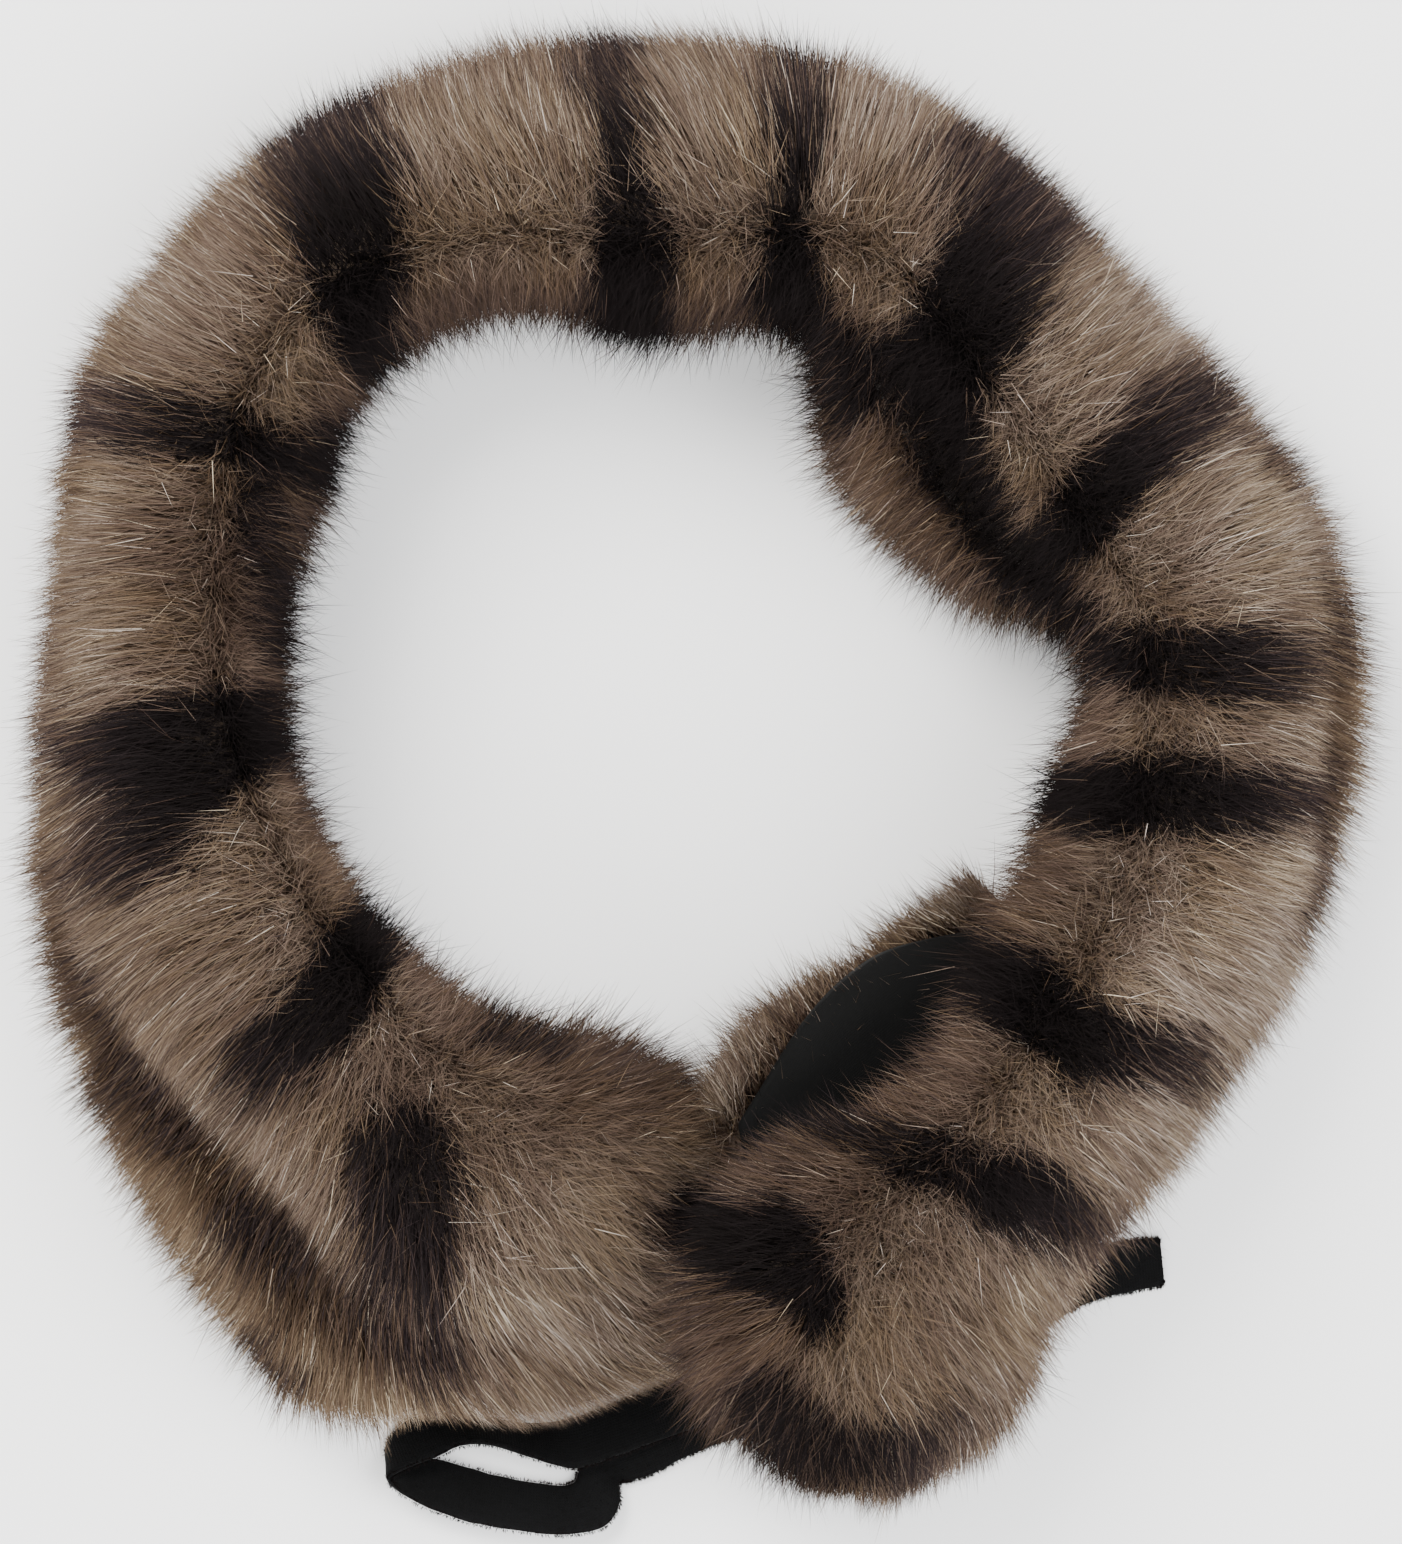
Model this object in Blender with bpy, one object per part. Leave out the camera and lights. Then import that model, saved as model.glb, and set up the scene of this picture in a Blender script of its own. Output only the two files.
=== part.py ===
"""Ring-shaped fur neck scarf with a lined end and a cloth strap, laid flat.

Places are read off the photograph in its own grid, whose step is GRID metres, with
across going right and down going towards the viewer's feet. Heights are in millimetres.
The object's frame has X right, Y up the photograph and Z up, in metres.
"""
import bpy
import numpy as np

# Driving sizes.
GRID = 0.000215             # one grid step of the photograph, metres
GRID_MIDDLE = (701.0, 792.0)  # grid place that becomes X = 0, Y = 0
EDGE_HEIGHT = 13.0          # height of a fur edge's widest line above its underside, mm
STEPS = 3                   # sections from one station to the next
# Where the points over the top of a section lie: shares of the way from the inner edge to the
# crest, and from the crest to the outer edge. The crease and the groove each have one.
INNER_SHARES = (0.0, 0.03, 0.12, 0.26, 0.42, 0.55, 0.68, 0.80, 0.90, 1.0)
OUTER_SHARES = (0.14, 0.28, 0.42, 0.54, 0.66, 0.78, 0.88, 0.94, 0.98, 1.0)
INNER_CURVE, OUTER_CURVE = (2.3, 0.56), (2.0, 0.56)   # powers of the curve over the top
CREASE_AT, CREASE_WIDTH = 0.68, 0.17
GROOVE_WIDTH = 0.11
# The underside, as shares from the inner to the outer edge, and the height of each point as
# a share of the edge height: flat in the middle, rounded up at both edges.
UNDER_SHARES = (0.978, 0.93, 0.70, 0.47, 0.25, 0.09, 0.03)
UNDER_HEIGHTS = (0.34, 0.0, 0.0, 0.0, 0.0, 0.0, 0.34)
STRAP_THICK = 1.5           # strap ribbon, mm
LINING_THICK = 1.5          # lining cloth, mm
SEAM_GAP = 0.35             # gap between touching cloth pieces, mm

# The fur tube, from its end under the tail, round the left, top and right, to the tail's nose.
# inner x, y, crest x, y, outer x, y (grid), crest height, lift of the underside at the inner
# and at the outer edge, depth of the crease inside the crest, depth of the groove near the
# outer edge (mm), and where that groove lies, as a share from the crest to the outer edge
RING = (
    (702, 1092, 708, 1175, 716, 1335, 25, 0, 0, 0, 0, 0.86),
    (672, 1062, 672, 1152, 656, 1384, 37, 0, 0, 0, 0, 0.86),
    (630, 1040, 620, 1130, 570, 1411, 50, 0, 0, 0, 0, 0.86),
    (575, 1022, 560, 1110, 480, 1421, 60, 0, 0, 0, 1, 0.72),
    (522, 1008, 500, 1088, 382, 1434, 65, 0, 0, 0, 5, 0.70),
    (470, 987, 450, 1060, 279, 1409, 68, 0, 0, 0, 9, 0.62),
    (428, 955, 402, 1012, 206, 1323, 70, 0, 0, 0, 10, 0.60),
    (393, 921, 360, 950, 140, 1219, 71, 0, 0, 0, 10, 0.65),
    (361, 889, 318, 894, 83, 1104, 71, 0, 0, 0, 9, 0.75),
    (330, 838, 281, 832, 42, 974, 70, 0, 0, 0, 6, 0.84),
    (305, 771, 246, 751, 29, 833, 70, 0, 0, 0, 2, 0.86),
    (294, 700, 225, 675, 35, 705, 70, 0, 0, 0, 0, 0.86),
    (300, 635, 215, 600, 50, 600, 69, 0, 0, 0, 0, 0.86),
    (310, 565, 215, 530, 64, 480, 70, 0, 0, 1, 0, 0.86),
    (335, 500, 232, 455, 83, 363, 71, 0, 0, 3, 0, 0.86),
    (358, 430, 268, 375, 145, 278, 72, 0, 0, 6, 0, 0.86),
    (405, 366, 325, 300, 210, 193, 71, 0, 0, 4, 0, 0.86),
    (470, 331, 405, 253, 307, 120, 70, 0, 0, 0, 0, 0.86),
    (535, 321, 490, 240, 419, 76, 69, 0, 0, 0, 0, 0.86),
    (590, 334, 570, 235, 524, 45, 69, 0, 0, 0, 0, 0.86),
    (645, 350, 650, 235, 640, 38, 70, 0, 0, 0, 0, 0.86),
    (705, 345, 730, 232, 746, 40, 70, 0, 0, 0, 0, 0.86),
    (762, 342, 810, 235, 850, 63, 70, 0, 0, 2, 0, 0.86),
    (796, 362, 878, 260, 959, 114, 71, 0, 0, 4, 0, 0.86),
    (814, 440, 932, 325, 1057, 192, 72, 0, 0, 11, 0, 0.86),
    (859, 506, 985, 403, 1130, 276, 72, 0, 0, 15, 0, 0.86),
    (911, 558, 1041, 482, 1198, 348, 72, 0, 0, 14, 0, 0.86),
    (967, 602, 1085, 540, 1262, 422, 71, 0, 0, 9, 0, 0.86),
    (1060, 633, 1125, 598, 1316, 497, 70, 0, 0, 3, 1, 0.80),
    (1072, 695, 1144, 670, 1353, 581, 69, 0, 0, 0, 4, 0.80),
    (1049, 755, 1153, 745, 1371, 682, 69, 0, 0, 0, 5, 0.74),
    (1031, 805, 1148, 820, 1361, 783, 70, 3, 0, 0, 5, 0.76),
    (1018, 850, 1135, 895, 1336, 881, 72, 12, 0, 0, 4, 0.84),
    (990, 905, 1105, 960, 1298, 975, 75, 23, 0, 0, 1, 0.86),
    (955, 960, 1065, 1030, 1254, 1050, 77, 29, 0, 0, 0, 0.86),
    (938, 1030, 1025, 1090, 1204, 1125, 79, 32, 0, 0, 0, 0.86),
    (870, 1085, 980, 1145, 1158, 1200, 80, 33, 0, 0, 0, 0.86),
    (780, 1107, 935, 1195, 1100, 1273, 80, 33, 0.1, 0, 0, 0.86),
    (707, 1175, 890, 1250, 1060, 1328, 80, 33, 0.1, 0, 0, 0.86),
    (672, 1275, 860, 1315, 1038, 1374, 77, 31, 0.1, 0, 0, 0.86),
    (684, 1370, 848, 1390, 1003, 1424, 68, 19, 1.9, 0, 0, 0.86),
    (732, 1435, 845, 1450, 945, 1463, 46, 8, 1.9, 0, 0, 0.86),
    (802, 1482, 848, 1486, 895, 1487, 18, 2.2, 1.9, 0, 0, 0.86),
)

# The lined end under the tail: hole side x, y, hidden side x, y (grid), height (mm), and the
# shares of the section where its lining starts and stops.
UNDERLAP = (
    (705, 1106, 718, 1332, 22, 0.30, 0.50),
    (746, 1040, 782, 1285, 23, 0.24, 0.62),
    (791, 999, 868, 1215, 23, 0.13, 0.64),
    (841, 968, 945, 1150, 22, 0.06, 0.64),
    (887, 940, 1005, 1092, 19, 0.07, 0.62),
    (935, 910, 1035, 1025, 15, 0.22, 0.62),
    (986, 882, 1045, 965, 10, 0.50, 0.62),
)

# The strap ribbon: floor edge x, y, height, raised edge x, y, height (grid, mm). It starts
# under the tail, makes the loop, passes under the tail on the floor and ends at the right.
STRAP = (
    (772, 1356, 2.7, 784, 1408, 2.7),
    (708, 1374, 2.7, 722, 1426, 2.7),
    (655, 1394, 2.7, 668, 1444, 3.6),
    (612, 1411, 2.7, 620, 1461, 5.0),
    (568, 1425, 2.6, 573, 1475, 6.2),
    (526, 1431, 1.4, 532, 1463, 8.2),
    (484, 1426, 0.8, 488, 1449, 9.0),
    (444, 1421, 0.8, 457, 1451, 9.0),
    (411, 1425, 0.8, 434, 1462, 8.8),
    (393, 1438, 0.8, 408, 1472, 8.6),
    (384, 1457, 0.8, 387, 1483, 8.8),
    (398, 1466, 0.8, 398, 1497, 8.8),
    (437, 1468, 0.8, 429, 1515, 8.0),
    (480, 1480, 0.8, 473, 1530, 7.0),
    (524, 1490, 0.8, 523, 1538, 6.6),
    (556, 1494, 0.8, 567, 1541, 6.2),
    (573, 1490, 0.8, 603, 1534, 5.6),
    (577, 1480, 0.8, 619, 1511, 4.2),
    (582, 1464, 0.8, 618, 1492, 1.8),
    (600, 1448, 0.8, 628, 1489, 0.8),
    (632, 1434, 0.8, 652, 1482, 0.8),
    (670, 1417, 0.8, 686, 1465, 0.8),
    (714, 1399, 0.8, 728, 1448, 0.8),
    (764, 1384, 0.8, 777, 1434, 0.8),
    (828, 1364, 0.8, 842, 1416, 0.8),
    (900, 1342, 0.8, 914, 1394, 0.8),
    (972, 1314, 0.8, 988, 1366, 0.8),
    (1036, 1281, 0.8, 1050, 1331, 0.8),
    (1086, 1258, 0.8, 1096, 1308, 0.8),
    (1128, 1247, 0.8, 1134, 1298, 0.8),
    (1165, 1242, 0.8, 1170, 1291, 0.8),
)

COLOURS = {
    "fur_tube": ((0.30, 0.25, 0.19, 1.0), 0.9),
    "fur_underlap": ((0.24, 0.19, 0.14, 1.0), 0.9),
    "lining": ((0.012, 0.012, 0.013, 1.0), 0.55),
    "strap": ((0.014, 0.014, 0.016, 1.0), 0.8),
}


def smooth_rows(table, steps):
    """Rows of a table, with a smooth curve through each column and steps rows per interval."""
    rows = np.array(table, float)
    ends = np.vstack([2 * rows[0] - rows[1], rows, 2 * rows[-1] - rows[-2]])
    share = np.linspace(0.0, 1.0, steps, endpoint=False)[:, None]
    found = []
    for i in range(len(rows) - 1):
        a, b, c, d = ends[i:i + 4]
        found.append(b + 0.5 * share * (c - a + share * (
            2 * a - 5 * b + 4 * c - d + share * (3 * (b - c) + d - a))))
    return np.vstack(found + [rows[-1:]])


def place(x, y, z_mm):
    """Grid places and heights in millimetres as points in metres."""
    return np.stack([(x - GRID_MIDDLE[0]) * GRID, (GRID_MIDDLE[1] - y) * GRID,
                     z_mm * 0.001 + 0 * x], axis=-1)


def dip(share, at, width):
    """A smooth dip of depth one round the share at."""
    return np.exp(-((share - at) / width) ** 2)


def fur_section(row):
    """One section of the fur tube, as points round it from the inner edge over the top."""
    inner, crest, outer = row[0:2], row[2:4], row[4:6]
    height, crease, groove = row[6], max(row[9], 0.0), max(row[10], 0.0)
    lift_in, lift_out = max(row[7], 0.0), max(row[8], 0.0)
    span = outer - inner
    c = np.clip(np.dot(crest - inner, span) / np.dot(span, span), 0.12, 0.6)
    bow = crest - (inner + c * span)
    near, far = np.array(INNER_SHARES), np.array(OUTER_SHARES)
    u = np.concatenate([c * near, c + (1 - c) * far])
    (p, q), (r, s) = INNER_CURVE, OUTER_CURVE
    shape = np.concatenate([(1 - (1 - near) ** p) ** q, (1 - far ** r) ** s])
    dips = np.concatenate([crease * dip(near, CREASE_AT, CREASE_WIDTH) * (1 - near ** 8),
                           groove * dip(far, row[11], GROOVE_WIDTH) * (1 - far ** 8)])
    lift_crest = lift_in * (1 - c) + lift_out * c
    edge = min(EDGE_HEIGHT, 0.45 * (height - lift_crest))
    over = lift_in * (1 - u) + lift_out * u + edge + (height - lift_crest - edge) * shape - dips
    low = np.array(UNDER_SHARES)
    across = np.concatenate([u, low])
    under = lift_in * (1 - low) + lift_out * low + edge * np.array(UNDER_HEIGHTS)
    side = inner + across[:, None] * span + (4 * across * (1 - across))[:, None] ** 2 * bow
    return place(side[:, 0], side[:, 1], np.concatenate([over, under]))


def underlap_top(row, u):
    """Points on the underlap's top at the shares u of one section."""
    edge = 0.4 * row[4]
    shape = np.where(u < 0.3, (1 - np.clip((0.3 - u) / 0.3, 0, 1) ** 2.6) ** 0.5,
                     (1 - 0.65 * np.clip((u - 0.3) / 0.7, 0, 1) ** 1.4))
    heights = edge + (row[4] - edge) * shape
    side = row[0:2] + u[:, None] * (row[2:4] - row[0:2])
    return place(side[:, 0], side[:, 1], heights)


def underlap_section(row):
    """One section of the underlap, round from the hole side over the top."""
    u = 0.5 - 0.5 * np.cos(np.linspace(0.0, np.pi, 13))
    low = np.linspace(0.94, 0.08, 6)
    side = row[0:2] + low[:, None] * (row[2:4] - row[0:2])
    return np.vstack([underlap_top(row, u), place(side[:, 0], side[:, 1], 0.0 * low)])


def closed_sweep(name, sections):
    """A closed solid through the given sections, with a face at each end."""
    count, around = sections.shape[:2]
    faces = []
    for i in range(count - 1):
        for j in range(around):
            k = (j + 1) % around
            faces.append((i * around + j, i * around + k,
                          (i + 1) * around + k, (i + 1) * around + j))
    faces.append(tuple(range(around - 1, -1, -1)))
    faces.append(tuple((count - 1) * around + j for j in range(around)))
    return make_object(name, sections.reshape(-1, 3), faces)


def cloth_wall(name, sheet, thick_mm, centred):
    """A closed wall of even thickness on a grid of points."""
    along = np.gradient(sheet, axis=0)
    across = np.gradient(sheet, axis=1)
    normal = np.cross(across, along)
    normal /= np.linalg.norm(normal, axis=-1, keepdims=True)
    start = -0.5 if centred else 0.0
    low = sheet + normal * thick_mm * 0.001 * start
    high = low + normal * thick_mm * 0.001
    rounds = np.concatenate([low, high[:, ::-1]], axis=1)
    return closed_sweep(name, rounds)


def make_object(name, points, faces):
    """A mesh object with outward faces, its own material and its own collection."""
    mesh = bpy.data.meshes.new(name)
    mesh.from_pydata([tuple(p) for p in points], [], faces)
    mesh.validate()
    mesh.update()
    volume = 0.0
    mesh.calc_loop_triangles()
    for triangle in mesh.loop_triangles:
        a, b, c = (mesh.vertices[i].co for i in triangle.vertices)
        volume += a.dot(b.cross(c)) / 6
    if volume < 0:
        mesh.flip_normals()
    thing = bpy.data.objects.new(name, mesh)
    home = bpy.data.collections.new(name)
    bpy.context.scene.collection.children.link(home)
    home.objects.link(thing)
    colour, roughness = COLOURS[name]
    material = bpy.data.materials.new(name)
    material.use_nodes = True
    shader = material.node_tree.nodes["Principled BSDF"]
    shader.inputs["Base Color"].default_value = colour
    shader.inputs["Roughness"].default_value = roughness
    mesh.materials.append(material)
    return thing


def centre_all(things):
    """Moves the points of every object so that the whole is centred over X = Y = 0."""
    points = np.array([v.co[:] for thing in things for v in thing.data.vertices])
    middle = 0.5 * (points.min(axis=0) + points.max(axis=0))
    for thing in things:
        for v in thing.data.vertices:
            v.co.x -= middle[0]
            v.co.y -= middle[1]
            v.co.z -= points[:, 2].min()
        thing.data.update()
    print("middle moved by", middle, "size", points.max(axis=0) - points.min(axis=0))


def build():
    """Makes the four pieces."""
    for old in list(bpy.data.objects):
        bpy.data.objects.remove(old)
    ring = np.array([fur_section(row) for row in smooth_rows(RING, STEPS)])
    under_rows = smooth_rows(UNDERLAP, STEPS)
    under = np.array([underlap_section(row) for row in under_rows])
    lining = np.array([underlap_top(row, np.linspace(row[5], row[6], 7))
                       for row in under_rows[2:]])
    lining[:, :, 2] += SEAM_GAP * 0.001
    strap_rows = smooth_rows(STRAP, STEPS)
    low = place(strap_rows[:, 0], strap_rows[:, 1], strap_rows[:, 2])
    high = place(strap_rows[:, 3], strap_rows[:, 4], strap_rows[:, 5])
    strap = np.stack([low, 0.5 * (low + high), high], axis=1)
    things = [
        closed_sweep("fur_tube", ring),
        closed_sweep("fur_underlap", under),
        cloth_wall("lining", lining, LINING_THICK, False),
        cloth_wall("strap", strap, STRAP_THICK, True),
    ]
    centre_all(things)


build()
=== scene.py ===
import bpy
import numpy as np
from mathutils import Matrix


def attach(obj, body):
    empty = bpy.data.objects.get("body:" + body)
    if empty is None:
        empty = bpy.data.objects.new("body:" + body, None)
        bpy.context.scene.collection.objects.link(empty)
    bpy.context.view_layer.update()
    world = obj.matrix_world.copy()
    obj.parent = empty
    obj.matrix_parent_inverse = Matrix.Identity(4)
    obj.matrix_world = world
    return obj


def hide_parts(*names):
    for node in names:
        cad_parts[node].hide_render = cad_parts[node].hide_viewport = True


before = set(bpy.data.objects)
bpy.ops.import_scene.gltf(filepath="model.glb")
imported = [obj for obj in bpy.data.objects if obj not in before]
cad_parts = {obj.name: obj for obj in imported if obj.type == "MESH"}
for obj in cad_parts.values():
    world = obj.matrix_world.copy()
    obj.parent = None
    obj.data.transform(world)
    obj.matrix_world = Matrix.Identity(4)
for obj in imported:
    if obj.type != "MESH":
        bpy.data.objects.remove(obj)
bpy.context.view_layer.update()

# Sizes, in metres unless they say otherwise.
GRID = 0.000215
GRID_MIDDLE = (701.0, 792.0)
CENTRING = (0.000215, -0.000442)
PICTURE_STEPS = (1402.0, 1544.0)
CAMERA_HEIGHT, FOCUS_HEIGHT = 2.6, 0.03
FLOOR_HALF = 4.0
EDGE_HEIGHT = 13.0           # mm
EDGE_SHARE = 0.45            # the most that an edge takes of the crest's height
CREST_SHARES = (0.12, 0.60)  # least and greatest place of the crest across a section
INNER_CURVE, OUTER_CURVE = (2.3, 0.56), (2.0, 0.56)
CREASE_AT, CREASE_WIDTH = 0.68, 0.17
GROOVE_WIDTH, GROOVE_GAIN = 0.11, 1.25
DIP_FADE = 8                 # the power with which a dip fades out towards an edge
TURNED_SHARE = 0.16          # of the underside, that curls up at its two sides
SEAM_GAP = 0.35              # mm
BACKING_THICK = 0.0012
STRAP_THICK = 0.0015
LINING_THICK = 0.0015
LINING_RIPPLE = 0.00025
PILE_DEPTH = 0.0088          # from the solid's surface down to the backing cloth
LONGEST_HAIR = 0.0245
TUFT = 0.0020
LOWEST = 0.0003              # no hair point lies lower
CLOTH_LOW, CLOTH_HIGH = 0.0006, 0.0012  # a backing's two faces where it rests
UNDERLAP_DEPTH = 0.0045      # the underlap's pile, down to its backing
UNDERLAP_SMALL, UNDERLAP_TONE, UNDERLAP_LEAN = 0.78, 0.16, -0.35
TAIL_LEFT = 665              # grid x; the tail's pile starts at its right
STRAP_FADE = 0.0016          # length over which the strap's end is rounded

random = np.random.default_rng(20)

# inner x, y, crest x, y, outer x, y (grid), crest height, lift of the underside at the inner
# and at the outer edge, depth of the crease inside the crest and of the outer groove (mm), and
# the groove's place as a share from the crest to the outer edge
RING = np.array((
    (702, 1092, 708, 1175, 716, 1335, 25, 0, 0, 0, 0, 0.86),
    (672, 1062, 672, 1152, 656, 1384, 37, 0, 0, 0, 0, 0.86),
    (630, 1040, 620, 1130, 570, 1411, 50, 0, 0, 0, 0, 0.86),
    (575, 1022, 560, 1110, 480, 1421, 60, 0, 0, 0, 1, 0.72),
    (522, 1008, 500, 1088, 382, 1434, 65, 0, 0, 0, 5, 0.70),
    (470, 987, 450, 1060, 279, 1409, 68, 0, 0, 0, 9, 0.62),
    (428, 955, 402, 1012, 206, 1323, 70, 0, 0, 0, 10, 0.60),
    (393, 921, 360, 950, 140, 1219, 71, 0, 0, 0, 10, 0.65),
    (361, 889, 318, 894, 83, 1104, 71, 0, 0, 0, 9, 0.75),
    (330, 838, 281, 832, 42, 974, 70, 0, 0, 0, 6, 0.84),
    (305, 771, 246, 751, 29, 833, 70, 0, 0, 0, 2, 0.86),
    (294, 700, 225, 675, 35, 705, 70, 0, 0, 0, 0, 0.86),
    (300, 635, 215, 600, 50, 600, 69, 0, 0, 0, 0, 0.86),
    (310, 565, 215, 530, 64, 480, 70, 0, 0, 1, 0, 0.86),
    (335, 500, 232, 455, 83, 363, 71, 0, 0, 3, 0, 0.86),
    (358, 430, 268, 375, 145, 278, 72, 0, 0, 6, 0, 0.86),
    (405, 366, 325, 300, 210, 193, 71, 0, 0, 4, 0, 0.86),
    (470, 331, 405, 253, 307, 120, 70, 0, 0, 0, 0, 0.86),
    (535, 321, 490, 240, 419, 76, 69, 0, 0, 0, 0, 0.86),
    (590, 334, 570, 235, 524, 45, 69, 0, 0, 0, 0, 0.86),
    (645, 350, 650, 235, 640, 38, 70, 0, 0, 0, 0, 0.86),
    (705, 345, 730, 232, 746, 40, 70, 0, 0, 0, 0, 0.86),
    (762, 342, 810, 235, 850, 63, 70, 0, 0, 2, 0, 0.86),
    (796, 362, 878, 260, 959, 114, 71, 0, 0, 4, 0, 0.86),
    (814, 440, 932, 325, 1057, 192, 72, 0, 0, 11, 0, 0.86),
    (859, 506, 985, 403, 1130, 276, 72, 0, 0, 15, 0, 0.86),
    (911, 558, 1041, 482, 1198, 348, 72, 0, 0, 14, 0, 0.86),
    (967, 602, 1085, 540, 1262, 422, 71, 0, 0, 9, 0, 0.86),
    (1060, 633, 1125, 598, 1316, 497, 70, 0, 0, 3, 1, 0.80),
    (1072, 695, 1144, 670, 1353, 581, 69, 0, 0, 0, 4, 0.80),
    (1049, 755, 1153, 745, 1371, 682, 69, 0, 0, 0, 5, 0.74),
    (1031, 805, 1148, 820, 1361, 783, 70, 3, 0, 0, 5, 0.76),
    (1018, 850, 1135, 895, 1336, 881, 72, 12, 0, 0, 4, 0.84),
    (990, 905, 1105, 960, 1298, 975, 75, 23, 0, 0, 1, 0.86),
    (955, 960, 1065, 1030, 1254, 1050, 77, 29, 0, 0, 0, 0.86),
    (938, 1030, 1025, 1090, 1204, 1125, 79, 32, 0, 0, 0, 0.86),
    (870, 1085, 980, 1145, 1158, 1200, 80, 33, 0, 0, 0, 0.86),
    (780, 1107, 935, 1195, 1100, 1273, 80, 33, 0.1, 0, 0, 0.86),
    (707, 1175, 890, 1250, 1060, 1328, 80, 33, 0.1, 0, 0, 0.86),
    (672, 1275, 860, 1315, 1038, 1374, 77, 31, 0.1, 0, 0, 0.86),
    (684, 1370, 848, 1390, 1003, 1424, 68, 19, 1.9, 0, 0, 0.86),
    (732, 1435, 845, 1450, 945, 1463, 46, 8, 1.9, 0, 0, 0.86),
    (802, 1482, 848, 1486, 895, 1487, 18, 2.2, 1.9, 0, 0, 0.86),
), float)

# hole side x, y, hidden side x, y (grid), height (mm), shares where the lining starts and stops
UNDERLAP = np.array((
    (705, 1106, 718, 1332, 22, 0.30, 0.50),
    (746, 1040, 782, 1285, 23, 0.24, 0.62),
    (791, 999, 868, 1215, 23, 0.13, 0.64),
    (841, 968, 945, 1150, 22, 0.06, 0.64),
    (887, 940, 1005, 1092, 19, 0.07, 0.62),
    (935, 910, 1035, 1025, 15, 0.22, 0.62),
    (986, 882, 1045, 965, 10, 0.50, 0.62),
), float)

# floor edge x, y, height, raised edge x, y, height (grid, mm)
STRAP = np.array((
    (772, 1356, 2.7, 784, 1408, 2.7),
    (708, 1374, 2.7, 722, 1426, 2.7),
    (655, 1394, 2.7, 668, 1444, 3.6),
    (612, 1411, 2.7, 620, 1461, 5.0),
    (568, 1425, 2.6, 573, 1475, 6.2),
    (526, 1431, 1.4, 532, 1463, 8.2),
    (484, 1426, 0.8, 488, 1449, 9.0),
    (444, 1421, 0.8, 457, 1451, 9.0),
    (411, 1425, 0.8, 434, 1462, 8.8),
    (393, 1438, 0.8, 408, 1472, 8.6),
    (384, 1457, 0.8, 387, 1483, 8.8),
    (398, 1466, 0.8, 398, 1497, 8.8),
    (437, 1468, 0.8, 429, 1515, 8.0),
    (480, 1480, 0.8, 473, 1530, 7.0),
    (524, 1490, 0.8, 523, 1538, 6.6),
    (556, 1494, 0.8, 567, 1541, 6.2),
    (573, 1490, 0.8, 603, 1534, 5.6),
    (577, 1480, 0.8, 619, 1511, 4.2),
    (582, 1464, 0.8, 618, 1492, 1.8),
    (600, 1448, 0.8, 628, 1489, 0.8),
    (632, 1434, 0.8, 652, 1482, 0.8),
    (670, 1417, 0.8, 686, 1465, 0.8),
    (714, 1399, 0.8, 728, 1448, 0.8),
    (764, 1384, 0.8, 777, 1434, 0.8),
    (828, 1364, 0.8, 842, 1416, 0.8),
    (900, 1342, 0.8, 914, 1394, 0.8),
    (972, 1314, 0.8, 988, 1366, 0.8),
    (1036, 1281, 0.8, 1050, 1331, 0.8),
    (1086, 1258, 0.8, 1096, 1308, 0.8),
    (1128, 1247, 0.8, 1134, 1298, 0.8),
    (1165, 1242, 0.8, 1170, 1291, 0.8),
), float)

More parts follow.
